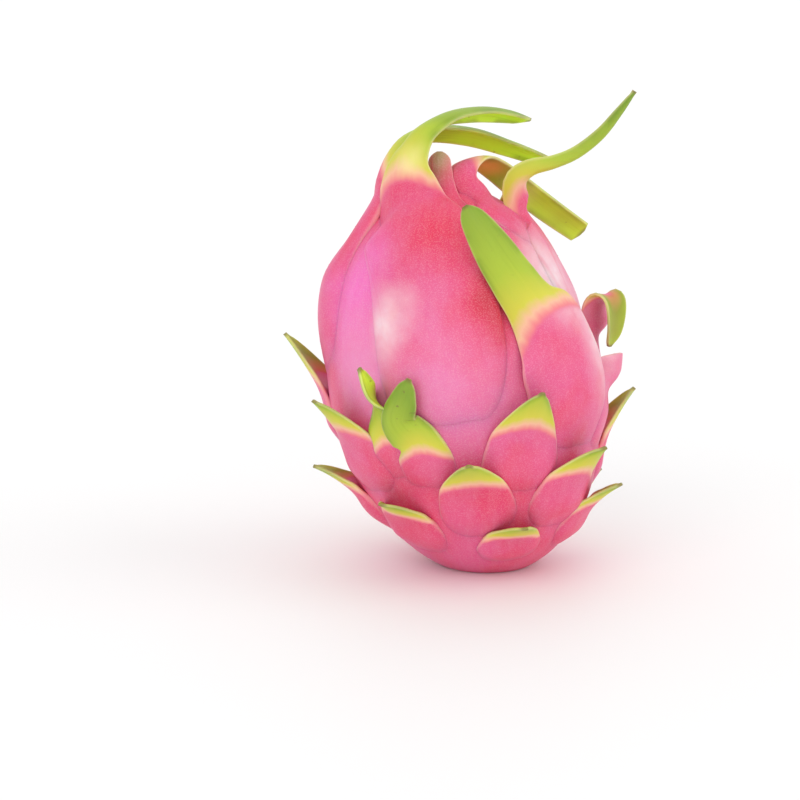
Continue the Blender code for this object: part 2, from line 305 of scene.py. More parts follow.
def make_body_tree():
    inputs = {"Sides": "count", "Rings": "count", "Swell": "number", "Fold": "number",
              "Finish": "finish"}
    tree, given = new_tree("Fruit body", "GeometryNodeTree", inputs, {"Mesh": "mesh"})
    sphere = {"Segments": given["Sides"], "Rings": given["Rings"], "Radius": 1.0}
    ball = add(tree, "GeometryNodeMeshUVSphere", sphere)
    x, y, z = xyz(add(tree, "GeometryNodeInputPosition"))
    azimuth = of("ARCTAN2", y, x)
    polar = of("ARCCOSINE", of("MINIMUM", of("MAXIMUM", z, -1.0), 1.0))
    skin = use(tree, SKIN, {"Azimuth": azimuth, "Polar": polar})
    swells = {"Vector": skin["Place"], "Scale": SOFT_SWELLS, "Detail": 1.0}
    swell = add(tree, "ShaderNodeTexNoise", swells) - 0.5
    turned = vector_of(tree, x * FOLDS_ROUND, y * FOLDS_ROUND, z * FOLD_STRETCH)
    folds = {"Vector": turned, "Scale": 1.0, "Detail": 2.0}
    fold = add(tree, "ShaderNodeTexNoise", folds) - 0.5
    off_floor = ramp(*FLOOR_FADE, xyz(skin["Place"])[2])
    relief = (swell * given["Swell"] + fold * given["Fold"]) * off_floor
    place = skin["Place"] + skin["Outward"] * relief
    moved = {"Geometry": ball, "Position": place}
    body = add(tree, "GeometryNodeSetPosition", moved)
    for name in BRACT_MASKS:
        body = store(tree, body, name, 0.0)
    body = add(tree, "GeometryNodeRealizeInstances", {"Geometry": body})
    finish = {"Geometry": body, "Material": given["Finish"]}
    close_tree(tree, {"Mesh": add(tree, "GeometryNodeSetMaterial", finish)})
    return tree


# %% [markdown]
# Each bract also leaves masks on its points, which its finish reads later: how green it is, the
# thin line of its margin and a wider band beside it, how near the tip is, whether this is the
# inner face, and where the point lies across and along. The body carries the same masks, all at
# 0, so that one material covers the whole fruit.

# %% Masks, and the body's tree made
BRACT_MASKS = ("green", "margin", "edge", "tip", "inner", "across", "along")
BODY_TREE = make_body_tree()

# %% [markdown]
# ## The bract
#
# A bract follows a centre line, given by a few knots. Each knot says where it is, how wide the
# bract is there, how deeply it is cupped, and which way its outer face looks. The tree makes
# the line a smooth Catmull-Rom curve, then wraps a closed tube of points around it: half of
# each ring is the outer face, half is the inner face, and they meet in a thin rounded margin.
# Where the bract is still root, its rings are laid on the skin instead, slightly proud of it,
# and over a few millimetres they lift off into the open. That is why a root and its blade
# are one surface, and why a bract never looks stuck on.

# %% The sizes of a bract
MARGIN_SINK = 1.1 * MM
LIFT_BLEND = 8 * MM
ROOT_DEPTH = 2.2 * MM
BLADE_THICKNESS = 2.2 * MM
TIP_THICKNESS = 1.1 * MM
MARGIN_THICKNESS = 0.9 * MM
NARROWEST_HALF = 0.9 * MM
MARGIN_TURN = 4.0
MARGIN_POWER = 5.0
SWELL_POWER = 2.5
MARGIN_GREEN = 6 * MM
MARGIN_LINE = 0.6 * MM
EDGE_BAND = 2.6 * MM
TIP_LENGTH = 6 * MM
RIM_REACH = 34 * MM
ROOT_BEGINS = (0.1, 0.95)
INNER_FACE = (0.35, 0.65)
FOLDS_ACROSS = 190
FOLDS_ALONG = 14
FOLD_DETAIL = 1.5
NEXT_FOLDS = 999
CURVE_DETAIL = 16
BRACT_INPUTS = {
    "Knots": "mesh",
    "Last Root Knot": "count",
    "Rings": "count",
    "Ring Points": "count",
    "Blunt": "number",
    "Lip": "number",
    "Green From": "number",
    "Green To": "number",
    "Green Slant": "number",
    "Fold": "number",
    "Finish": "finish",
}
print(len(BRACT_INPUTS), "inputs of a bract")


# %% Helpers of the bract's tree
def named(tree, name, data_type="FLOAT"):
    """A named attribute of the geometry, as a field."""
    return add(tree, "GeometryNodeInputNamedAttribute", {"Name": name}, data_type=data_type)


def smooth_centre_line(tree, given):
    """The knots as one smooth curve, cut into even steps."""
    curve = add(tree, "GeometryNodeMeshToCurve", {"Mesh": given["Knots"]})
    curve = add(tree, "GeometryNodeCurveSplineType", {"Curve": curve}, spline_type="CATMULL_ROM")
    fine = {"Geometry": curve, "Resolution": CURVE_DETAIL}
    curve = add(tree, "GeometryNodeSetSplineResolution", fine)
    travel = add(tree, "GeometryNodeSplineParameter", output="Length")
    at_lift = {"Geometry": curve, "Value": travel, "Index": given["Last Root Knot"]}
    lift = add(tree, "GeometryNodeSampleIndex", at_lift, data_type="FLOAT", domain="POINT")
    total = add(tree, "GeometryNodeCurveLength", {"Curve": curve})
    steps = {"Curve": curve, "Count": given["Rings"] + 1}
    even = add(tree, "GeometryNodeResampleCurve", steps)
    return even, lift, total


def reader(tree, line, index):
    """A function that reads a value of the centre line at a ring."""
    def read(value, data_type="FLOAT"):
        inputs = {"Geometry": line, "Value": value, "Index": index}
        return add(tree, "GeometryNodeSampleIndex", inputs, data_type=data_type, domain="POINT")
    return read


def laid_on_skin(tree, given, place, in_air, side, half, travel, lift):
    """The outer face of a root, the way out of the skin there, and how proud its line is."""
    under = use(tree, ANGLES, {"Place": in_air})
    below = use(tree, SKIN, {"Azimuth": under["Azimuth"], "Polar": under["Polar"]})
    line_under = use(tree, ANGLES, {"Place": place})
    line_below = use(tree, SKIN, {"Azimuth": line_under["Azimuth"],
                                  "Polar": line_under["Polar"]})
    raised = of("DOT_PRODUCT", place - line_below["Place"], line_below["Outward"])
    rim = abs(side) ** MARGIN_POWER
    started = ramp(*ROOT_BEGINS, travel / lift)
    lip = lerp(-MARGIN_SINK, given["Lip"], started)
    at_fold = vector_of(tree, side * half * FOLDS_ACROSS, travel * FOLDS_ALONG,
                        lift * NEXT_FOLDS)
    folds = {"Vector": at_fold, "Scale": 1.0, "Detail": FOLD_DETAIL}
    fold = add(tree, "ShaderNodeTexNoise", folds) - 0.5
    fold = fold * given["Fold"] * started * (1 - rim)
    height = lerp(raised, lip, rim) + fold
    return below["Place"] + below["Outward"] * height, below["Outward"], raised


def thickness(side, along, raised, free):
    """A root is thick enough to reach into the body, and a blade gets thinner to its tip."""
    blade = lerp(BLADE_THICKNESS, TIP_THICKNESS, of("MAXIMUM", along, 0.0))
    middle = lerp(raised + ROOT_DEPTH, blade, free)
    thin = lerp(ROOT_DEPTH, MARGIN_THICKNESS, free)
    return thin + (middle - thin) * (1 - abs(side) ** SWELL_POWER)


def bract_masks(given, side, half, travel, lift, total):
    """The masks that hang on a point's place across and along the bract."""
    along = (travel - lift) / (total - lift)
    greener = given["Green Slant"] * side + side * side * MARGIN_GREEN / (total - lift)
    to_margin = half * (1 - abs(side))
    rim_shows = ramp(-RIM_REACH, 0.0, travel - lift)
    return {
        "green": ramp(given["Green From"], given["Green To"], along + greener, "LINEAR"),
        "margin": (1 - ramp(0.0, MARGIN_LINE, to_margin, "LINEAR")) * rim_shows,
        "edge": (1 - ramp(0.0, EDGE_BAND, to_margin)) * rim_shows,
        "tip": 1 - ramp(0.0, TIP_LENGTH, total - travel, "LINEAR"),
        "across": side * half,
        "along": travel,
    }


# %% The bract's tree
def make_bract_tree():
    tree, given = new_tree("Bract", "GeometryNodeTree", BRACT_INPUTS, {"Mesh": "mesh"})
    line, lift, total = smooth_centre_line(tree, given)
    tube = {"Vertices": given["Ring Points"], "Side Segments": given["Rings"], "Radius": 1.0,
            "Depth": 1.0}
    mesh = add(tree, "GeometryNodeMeshCylinder", tube, fill_type="NGON")
    side, turn_y, share = xyz(add(tree, "GeometryNodeInputPosition"))
    read = reader(tree, line, of("ROUND", (share + 0.5) * given["Rings"]))
    place = read(add(tree, "GeometryNodeInputPosition"), "FLOAT_VECTOR")
    tangent = read(add(tree, "GeometryNodeInputTangent"), "FLOAT_VECTOR")
    travel = read(add(tree, "GeometryNodeSplineParameter", output="Length"))
    half, cup = read(named(tree, "half")), read(named(tree, "cup"))
    face = read(named(tree, "face", "FLOAT_VECTOR"), "FLOAT_VECTOR")
    face = of("NORMALIZE", face - tangent * of("DOT_PRODUCT", face, tangent))
    across = of("CROSS_PRODUCT", tangent, face)
    near_tip = of("MAXIMUM", 1 - (total - travel) / given["Blunt"], 0.0)
    fullness = of("SQRT", of("MAXIMUM", 1 - near_tip * near_tip, 0.0))
    half = of("MAXIMUM", half * fullness, NARROWEST_HALF)
    cup = cup * fullness

    free = ramp(-LIFT_BLEND, LIFT_BLEND, travel - lift)
    in_air = place + across * (half * side) - face * (cup * half * side * side)
    on_skin, outward, raised = laid_on_skin(tree, given, place, in_air, side, half, travel, lift)
    outer = lerp(on_skin, in_air, free)
    leaning = face + across * (cup * side * 2)
    normal = of("NORMALIZE", lerp(outward, leaning, free))
    thick = thickness(side, (travel - lift) / (total - lift), raised, free)
    turned = of("MINIMUM", of("MAXIMUM", turn_y * MARGIN_TURN, -1.0), 1.0)
    depth = 0.5 - of("SINE", turned * (math.pi / 2)) * 0.5

    masks = bract_masks(given, side, half, travel, lift, total)
    masks["inner"] = ramp(*INNER_FACE, depth) * free
    for name in BRACT_MASKS:
        mesh = store(tree, mesh, name, masks[name])
    moved = {"Geometry": mesh, "Position": outer - normal * (thick * depth)}
    mesh = add(tree, "GeometryNodeSetPosition", moved)
    mesh = add(tree, "GeometryNodeRealizeInstances", {"Geometry": mesh})
    finish = {"Geometry": mesh, "Material": given["Finish"]}
    close_tree(tree, {"Mesh": add(tree, "GeometryNodeSetMaterial", finish)})
    return tree


BRACT_TREE = make_bract_tree()

# %% [markdown]
# ## Running a tree
#
# A Geometry Nodes modifier on an empty mesh runs a tree. Its inputs are set by each socket's
# identifier, because names may repeat. Then the evaluated result is read back as a plain mesh,
# and the modifier goes, so that what is left is ordinary geometry.

# %% From a tree to a plain mesh
def link(name, mesh):
    thing = bpy.data.objects.new(name, mesh)
    bpy.context.scene.collection.objects.link(thing)
    return thing


def grow(name, tree, values, start=None):
    """Runs a tree with these inputs and returns the result as a plain mesh object."""
    thing = link(name, start or bpy.data.meshes.new(name))
    modifier = thing.modifiers.new("grow", "NODES")
    modifier.node_group = tree
    for item in tree.interface.items_tree:
        if item.in_out == "INPUT" and item.name in values:
            modifier[item.identifier] = values[item.name]
    graph = bpy.context.evaluated_depsgraph_get()
    mesh = bpy.data.meshes.new_from_object(thing.evaluated_get(graph))
    thing.modifiers.clear()
    thing.data = mesh
    mesh.name = name
    return thing


def knot_mesh(name, knots):
    """The knots of a centre line, as points joined by edges, with what each one says."""
    mesh = bpy.data.meshes.new(name)
    edges = [(index, index + 1) for index in range(len(knots) - 1)]
    mesh.from_pydata([knot[:3] for knot in knots], edges, [])
    for label, column in (("half", 3), ("cup", 4)):
        layer = mesh.attributes.new(label, "FLOAT", "POINT")
        for index, knot in enumerate(knots):
            layer.data[index].value = knot[column]
    faces = mesh.attributes.new("face", "FLOAT_VECTOR", "POINT")
    for index, knot in enumerate(knots):
        faces.data[index].vector = knot[5:8]
    return mesh


# %% [markdown]
# ## Placing the bracts
#
# Root knots lie on the skin, so they are given as degrees round the fruit, a height, a half
# width and how far they stand proud. A little Python works out where that is, with the same egg
# rule as the node groups.

# %% The egg rule in Python, for the knots
def skin_at(azimuth, polar):
    """The place on the skin and its outward direction."""
    rise = CROWN_RISE if polar < math.pi / 2 else BASE_DROP
    out, up = math.sin(polar), math.cos(polar)
    waves = math.cos(3 * azimuth + THREE_RIBS_FROM)
    waves += FIVE_RIBS_SHARE * math.cos(5 * azimuth + FIVE_RIBS_FROM)
    radius = WIDEST_RADIUS * out * (1 + RIB_DEPTH * waves * out)
    height = WIDEST_HEIGHT + rise * up
    if polar < math.pi / 2 and radius < NAVEL_RADIUS:
        height -= NAVEL_DEPTH * (1 - (radius / NAVEL_RADIUS) ** 2) ** 2
    height = max(height, 0.0)
    x, y = math.cos(azimuth), math.sin(azimuth)
    place = Vector((AXIS_LEAN * height + radius * x, radius * y, height))
    side = Vector((out * x, out * y, 0)) / WIDEST_RADIUS
    side.z = up / rise - AXIS_LEAN * side.x
    return place, side.normalized()


def angles_of(degrees, height):
    """Skin angles of a place given as degrees round the fruit and a height in millimetres."""
    up = height * MM - WIDEST_HEIGHT
    rise = CROWN_RISE if up > 0 else BASE_DROP
    return math.radians(degrees), math.acos(max(-1.0, min(1.0, up / rise)))


def knots_of(root, blade):
    """Every knot of a centre line: place, half width, cup, and the way the outer face looks."""
    knots = []
    for degrees, height, half, raised in root:
        azimuth, polar = angles_of(degrees, height)
        place, face = skin_at(azimuth, polar)
        place = place + face * raised * MM
        girth = max(WIDEST_RADIUS * math.sin(polar), half * MM)
        knots.append((*place, half * MM, half * MM / (2 * girth), *face))
    for x, y, z, half, cup, face in blade:
        knots.append((x * MM, y * MM, z * MM, half * MM, cup, *Vector(face).normalized()))
    return knots


# %% [markdown]
# The long and odd-shaped bracts at the front are each given by their own knots, in millimetres.
# A root knot is (degrees, height, half width, how proud), and a blade knot is (x, y, z, half
# width, cup, the way its outer face looks). Then come the length of the tip's rounding, the lip
# that the root's margin keeps above the skin, and where the green starts and is full along the
# blade, with how much that line slants across it.

# %% The bracts of the front
SHOWN_BRACTS = {
    "front_left": (
        [(259, 50, 19, -1.2), (259, 76, 24, 4), (257, 98, 22.5, 4.5), (250, 112, 19, 4.5),
         (239, 121, 17.5, 4.5)],
        [(-28.5, -17.5, 128.5, 13, 0.5, (-0.45, -0.85, 0.3)),
         (-29, -16, 134.5, 11, 0.4, (-0.5, -0.82, 0.3)),
         (-28.8, -15, 140.5, 8.6, 0.4, (-0.55, -0.78, 0.35)),
         (-26.8, -14, 146.5, 6.6, 0.5, (-0.6, -0.7, 0.45)),
         (-23, -11, 152.5, 6, 0.6, (-0.5, -0.4, 0.8)),
         (-14, -4, 157, 5.6, 0.65, (-0.2, 0.2, 0.95)),
         (-3, 4, 158, 5.4, 0.65, (0, 0.45, 0.9)),
         (7, 10, 156.5, 4.8, 0.6, (0.15, 0.45, 0.85)),
         (15, 14, 153.5, 2.8, 0.5, (0.2, 0.45, 0.85))],
        5, 2.7, (0.16, 0.8, 0.0),
    ),
    "left_back": (
        [(190, 56, 16, -1.2), (178, 80, 20, 2.6), (174, 100, 18.5, 5), (172, 114, 15, 2.8),
         (173, 124, 11.5, 5)],
        [(-38, 3, 133, 8, 0.4, (-0.95, 0, 0.25)),
         (-35, 4, 141, 6.8, 0.4, (-0.85, 0, 0.5)),
         (-29, 7, 148, 6, 0.5, (-0.5, 0.2, 0.85)),
         (-19, 11, 151, 5.6, 0.6, (-0.1, 0.5, 0.85)),
         (-5, 16, 149.5, 5.6, 0.6, (0.1, 0.6, 0.8)),
         (8, 19, 145, 5, 0.55, (0.25, 0.6, 0.75)),
         (18, 20, 141, 4, 0.5, (0.3, 0.6, 0.7)),
         (25, 21, 138, 1.8, 0.5, (0.3, 0.6, 0.7))],
        4, 0.7, (0.1, 0.6, 0.0),
    ),
    "crown_strap": (
        [(342, 110, 7, -1.2), (334, 119, 8, 1), (318, 126, 7, 1.6)],
        [(-7, -10, 131.5, 5.8, 0.4, (0.1, -0.95, 0.3)),
         (-8.8, -9, 136.5, 4.9, 0.4, (0, -0.9, 0.35)),
         (-7.5, -5, 140.5, 4.8, 0.3, (-0.2, -0.4, 0.85)),
         (-3, 1, 141.5, 4.9, 0.3, (-0.2, 0.35, 0.95)),
         (3, 7, 137.5, 5, 0.3, (-0.1, 0.75, 0.65)),
         (12, 12, 130, 5.1, 0.3, (-0.1, 0.85, 0.5)),
         (23, 17, 121.5, 5, 0.3, (-0.1, 0.85, 0.5)),
         (34, 22, 113.5, 4.6, 0.3, (-0.1, 0.85, 0.5))],
        0.8, 0.2, (0.26, 0.95, 0.0),
    ),
    "crown_stub": (
        [(288, 112, 8, -1.2), (280, 121, 7.5, 0.6), (266, 127.5, 6.5, 1.2)],
        [(-16.5, -10.5, 134, 5, 0.3, (-0.1, -0.95, 0.3)),
         (-16.5, -9.5, 139, 4.2, 0.3, (0, -0.85, 0.5)),
         (-16.5, -8, 144, 3.4, 0.3, (0, -0.7, 0.7))],
        3, 0.1, (3.0, 4.0, 0.0),
    ),
    "right_tendril": (
        [(352, 76, 14, -1.2), (350, 94, 18, 0.8), (350, 108, 16, 1.4), (350, 115, 12.5, 2),
         (351, 120, 9, 2.6)],
        [(12, -7, 125.5, 6, 0.5, (0.6, -0.8, 0.1)),
         (10.5, -8, 130, 5, 0.7, (0.5, -0.85, -0.1)),
         (11, -9, 134, 4.6, 0.8, (0.4, -0.85, -0.3)),
         (15, -9.5, 137, 3.7, 0.9, (0.2, -0.8, -0.55)),
         (22, -9.5, 139, 3, 0.9, (0.2, -0.8, -0.55)),
         (30, -9.5, 142.5, 2.8, 0.9, (0.3, -0.8, -0.5)),
         (38, -10, 149, 2.7, 0.8, (0.5, -0.75, -0.4)),
         (44, -10.5, 157, 2.2, 0.6, (0.6, -0.7, -0.35)),
         (48.5, -10.5, 164, 1, 0.4, (0.6, -0.7, -0.35))],
        3, 0.4, (0.1, 1.0, -0.06),
    ),
    "front_blade": (
        [(322, 44, 17, -1.2), (321, 60, 22, 4), (317, 74, 21, 5.5), (311, 85.5, 18.5, 5)],
        [(14.5, -39.5, 96, 10, 0.3, (0.35, -0.9, 0.15)),
         (7.5, -42, 105, 8, 0.3, (0.25, -0.95, 0)),
         (1.2, -43, 114, 7, 0.3, (0.2, -0.95, -0.1)),
         (-4.4, -42, 122, 5.4, 0.3, (0.1, -0.95, -0.2)),
         (-9, -39.5, 129, 3.3, 0.3, (0.1, -0.95, -0.2))],
        5, 2.2, (0.11, 1.05, 0.06),
    ),
    "right_curl": (
        [(6, 52, 11, -1.2), (6, 66, 12, 2.5), (6, 76, 9.5, 3)],
        [(39.8, 3.7, 82, 9, 0.3, (0.75, -0.6, 0.2)),
         (39.2, 3.4, 87.5, 8, 0.3, (0.75, -0.6, 0)),
         (39.7, 2.7, 91.3, 7.2, 0.3, (0.6, -0.5, -0.6)),
         (41.1, 1.6, 92.8, 6.8, 0.3, (0, 0, -1)),
         (42.5, 0.4, 91.3, 6.4, 0.3, (-0.65, 0.5, -0.5)),
         (43, 0, 87, 5.6, 0.3, (-0.75, 0.6, 0)),
         (42.7, -0.2, 81.5, 4.4, 0.3, (-0.75, 0.6, 0.1)),
         (41.9, 0.2, 76.5, 2.4, 0.2, (-0.75, 0.6, 0.1))],
        4, 0.2, (0.5, 1.2, 0.0),
    ),
    "low_left_fin": (
        [(236, 34, 9, -1.2), (234, 46, 10, 2.5), (232, 54, 8, 3)],
        [(-38, -38, 62, 6, 0.3, (-0.8, -0.3, -0.3)),
         (-41, -41.5, 69, 4.5, 0.3, (-0.8, 0.4, -0.3)),
         (-43.5, -44, 76.5, 1.6, 0.3, (-0.8, 0.5, -0.3))],
        3, 0.2, (-0.2, 0.8, 0.0),
    ),
    "low_left_tip": (
        [(250, 32, 10, -1.2), (248, 44, 11, 2.5), (246, 52, 9, 3)],
        [(-31, -46, 59, 6.5, 0.35, (-0.4, -0.9, 0)),
         (-29.5, -48.5, 66, 5, 0.35, (-0.4, -0.9, -0.1)),
         (-27, -50, 74, 2, 0.3, (-0.3, -0.9, -0.2))],
        4, 0.2, (-0.2, 0.8, 0.0),
    ),
    "right_stub": (
        [(342, 40, 11, -1.2), (344, 54, 12, 2.5), (345, 62, 9, 3)],
        [(42.6, -13, 69, 6.4, 0.4, (0.65, -0.75, 0)),
         (43.4, -14, 76, 5.6, 0.4, (0.65, -0.75, -0.1))],
        1.5, 0.2, (1.7, 2.4, 0.0),
    ),
}
print(len(SHOWN_BRACTS), "bracts by hand")

# %% [markdown]
# The other bracts follow a rule. Each leaves the skin at a place, leans out by its splay, and
# then curls: back to the fruit, or outwards where the curl is negative. They spiral round the
# fruit in rough rows, as on a cactus stem, and get shorter towards the stem end. A row of the
# list is (degrees round the fruit, height, length, half width, splay, curl, sideways lean),
# with the lengths in millimetres and the turns in degrees.

# %% The bracts by rule
GREEN_OF_GROWN = (0.3, 1.7, 0.0)
LIP_OF_GROWN = 0.2
CUP_OF_GROWN = 0.3
BLUNT_SHARE = 0.16
ROOT_START_WIDTH = 0.8
ROOT_START_RISE = -1.2
ROOT_MIDDLE_WIDTH = 1.1
ROOT_MIDDLE_RISE = 2.5
ROOT_END_RISE = 3
ROOT_PER_HALF = 0.9
ROOT_PER_LENGTH = 0.3
LOWEST_ROOT = 5.0
BLADE_STEPS = 4
NARROWING = 0.9
NARROWING_POWER = 1.25
GROWN_BRACTS = [
    (62, 100, 34, 12, 14, 30, -14),
    (106, 99, 40, 13, 18, 40, 8),
    (150, 86, 30, 13, 14, 30, 0),
    (42, 76, 27, 12.5, 16, 6, 8),
    (80, 72, 31, 13.5, 24, 16, -8),
    (122, 64, 31, 13.5, 24, 4, 6),
    (172, 58, 26, 12.5, 20, -10, 0),
    (212, 46, 23, 12.5, 16, -16, -6),
    (290, 50, 23, 13, 13, -18, 4),
    (268, 33, 21, 12.5, 14, -22, -6),
    (313, 34, 21, 12.5, 14, -22, 6),
    (6, 42, 22, 12.5, 16, -16, 0),
    (50, 42, 24, 13, 18, -18, 8),
    (96, 38, 22, 12.5, 16, -18, 0),
    (146, 34, 21, 12.5, 16, -22, -6),
    (184, 26, 18, 11.5, 14, -24, 0),
    (228, 22, 16, 11.5, 12, -24, 4),
    (336, 22, 17, 11.5, 12, -24, 0),
    (28, 19, 16, 11.5, 12, -24, 0),
    (76, 16, 15, 10.5, 10, -24, 0),
    (120, 17, 15, 10.5, 10, -24, 4),
    (286, 16, 15, 10.5, 10, -24, 0),
]


def grown_bract(degrees, height, length, half, splay, curl, lean):
    """The root, the blade, the tip, the lip and the green of one bract by rule."""
    azimuth, polar = angles_of(degrees, height)
    place, outward = skin_at(azimuth, polar)
    round_way = Vector((-math.sin(azimuth), math.cos(azimuth), 0))
    upward = round_way.cross(outward) * -1
    upward = upward * math.cos(math.radians(lean)) + round_way * math.sin(math.radians(lean))
    fall = ROOT_PER_HALF * half + ROOT_PER_LENGTH * length
    drift = math.degrees(math.tan(math.radians(lean)) * fall * MM / WIDEST_RADIUS)
    low = max(LOWEST_ROOT, height - fall)
    middle = (low + height) / 2
    root = [(degrees - drift, low, half * ROOT_START_WIDTH, ROOT_START_RISE),
            (degrees - drift / 2, middle, half * ROOT_MIDDLE_WIDTH, ROOT_MIDDLE_RISE),
            (degrees, height, half, ROOT_END_RISE)]
    place = place / MM + outward * ROOT_END_RISE
    blade = []
    for step in range(BLADE_STEPS):
        angle = math.radians(splay - curl * (step + 0.5) / BLADE_STEPS)
        ahead = upward * math.cos(angle) + outward * math.sin(angle)
        face = outward * math.cos(angle) - upward * math.sin(angle)
        place = place + ahead * length / BLADE_STEPS
        share = (step + 1) / BLADE_STEPS
        width = half * (1 - NARROWING * share**NARROWING_POWER)
        blade.append((*place, width, CUP_OF_GROWN, face))
    return root, blade, BLUNT_SHARE * length, LIP_OF_GROWN, GREEN_OF_GROWN


print(len(GROWN_BRACTS), "bracts by rule")

# %% [markdown]
# ## The finish of the skin
#
# One material covers the whole fruit, and the masks say where it changes. The skin is a warm
# pink, lilac on one side and nearly white on the other, where a painted highlight and a painted
# reflection lie; painted shade, over a deeper red flush, lies below the front blade. It has paler
# specks, faint streaks from the stem end to the crown, and a few fine creases high on the bracts,
# darkened with painted shade. Up a blade the pink goes through peach and yellow to green, with
# fine fibres along it and deeper green in patches beside the margin, and painted light brightens
# the shaded inner faces. The margin is a pale line, and the tip dries brown. Three small groups
# put out the masks for specks, streaks and creases.

# %% Shared finishes: specks, streaks and creases
SHADER = "ShaderNodeGroup"
SPECK_EDGE = 0.12
STREAK_STRETCH = 6
STREAK_RANGE = (0.35, 0.7)
CREASES_ACROSS = 95
CREASES_ALONG = 7
CREASES_APART = 9
CREASE_WIDTH = 0.035
CREASE_FADE = 40 * MM


def noise(vector, scale, detail=2.0):
    values = {"Vector": vector, "Scale": scale, "Detail": detail}
    return add(vector.tree, "ShaderNodeTexNoise", values)


def blend(tree, share, a, b):
    """A colour between two others."""
    node = tree.nodes.new("ShaderNodeMix")
    node.data_type = "RGBA"
    feed(tree, node.inputs[0], share)
    feed(tree, node.inputs[6], a)
    feed(tree, node.inputs[7], b)
    return Field(tree, node.outputs[2])


def make_specks():
    """Small soft grains, over about the given share of the skin."""
    inputs = {"Vector": "vector", "Scale": "number", "Share": "number"}
    tree, given = new_tree("Specks", "ShaderNodeTree", inputs, {"Mask": "number"})
    grains = noise(given["Vector"], given["Scale"], detail=1.0)
    mask = ramp(0.0, SPECK_EDGE, grains - (1 - given["Share"]))
    close_tree(tree, {"Mask": mask})
    return tree


def make_streaks():
    """Streaks that run up the fruit: noise that is squeezed round the axis."""
    inputs = {"Vector": "vector", "Finer": "number"}
    tree, given = new_tree("Streaks", "ShaderNodeTree", inputs, {"Mask": "number"})
    x, y, z = xyz(given["Vector"])
    around = of("ARCTAN2", y, x - z * AXIS_LEAN)
    wrapped = vector_of(tree, of("COSINE", around), of("SINE", around), z * STREAK_STRETCH)
    mask = noise(wrapped * given["Finer"], 1.0, detail=3.0)
    close_tree(tree, {"Mask": ramp(*STREAK_RANGE, mask)})
    return tree


def make_creases():
    """Fine creases along a bract: thin lines where a stretched noise passes its middle."""
    inputs = {"Vector": "vector", "Across": "number", "Along": "number", "Start": "number"}
    tree, given = new_tree("Creases", "ShaderNodeTree", inputs, {"Mask": "number"})
    x, _, z = xyz(given["Vector"])
    stretched = vector_of(tree, given["Across"] * CREASES_ACROSS,
                          given["Along"] * CREASES_ALONG, x * CREASES_APART)
    off_middle = abs(noise(stretched, 1.0, detail=1.0) - 0.5)
    line = 1 - ramp(0.0, CREASE_WIDTH, off_middle)
    on_bract = ramp(0.0, 1 * MM, given["Along"])
    high = ramp(given["Start"], given["Start"] + CREASE_FADE, z)
    close_tree(tree, {"Mask": line * high * on_bract})
    return tree


SPECKS = make_specks()
STREAKS = make_streaks()
CREASES = make_creases()

# %% [markdown]
# Soft spots lay the larger patches of colour on the skin and on the blades. Some are painted
# light and shade: a painted highlight on the left front, a painted reflection along the right
# shoulder, painted shade below the front blade, and painted light on shaded bracts. A spot is
# (centre, size, tint, strength), with its centre and size in millimetres. Noise moves their
# edges about, so that none looks round.

# %% Tints, spots and steps
PINK = (0.76, 0.11, 0.27, 1)
CORAL = (0.76, 0.045, 0.11, 1)
# Deep red for painted shade below the front blade, over a deeper red flush
FLUSH_AND_BLADE_SHADE = (0.56, 0.02, 0.045, 1)
LILAC = (0.85, 0.27, 0.52, 1)
MAGENTA = (0.89, 0.18, 0.54, 1)
# Pale tint of the real specks and streaks, and of the painted highlight and painted reflection
# spots
BLOOM_AND_HIGHLIGHT = (0.90, 0.66, 0.70, 1)
BLUSH = (0.84, 0.24, 0.26, 1)
PEACH = (0.88, 0.50, 0.33, 1)
YELLOW = (0.66, 0.62, 0.07, 1)
LIME = (0.43, 0.55, 0.05, 1)
GREEN = (0.24, 0.37, 0.04, 1)
DEEP_GREEN = (0.13, 0.24, 0.02, 1)
ORANGE = (0.64, 0.26, 0.10, 1)
OLIVE = (0.30, 0.37, 0.025, 1)
# A lime brighter than the bract's own colour: painted light on inner faces that lie in shade
LIME_WITH_PAINTED_LIGHT = (0.66, 0.97, 0.06, 1)
CREAM = (0.84, 0.76, 0.42, 1)
ROSE_CREAM = (0.92, 0.50, 0.47, 1)
DRY = (0.20, 0.13, 0.05, 1)
SCAR = (0.32, 0.20, 0.09, 1)
# Painted shade: the deep red that darkens the crease lines
CREASE_SHADE = (0.80, 0.06, 0.18, 1)
TAN = (0.47, 0.34, 0.17, 1)
# Pale lemon for painted light: a painted highlight and a lightened shaded face
LEMON_HIGHLIGHT = (0.90, 0.84, 0.34, 1)
RUSSET = (0.33, 0.30, 0.05, 1)
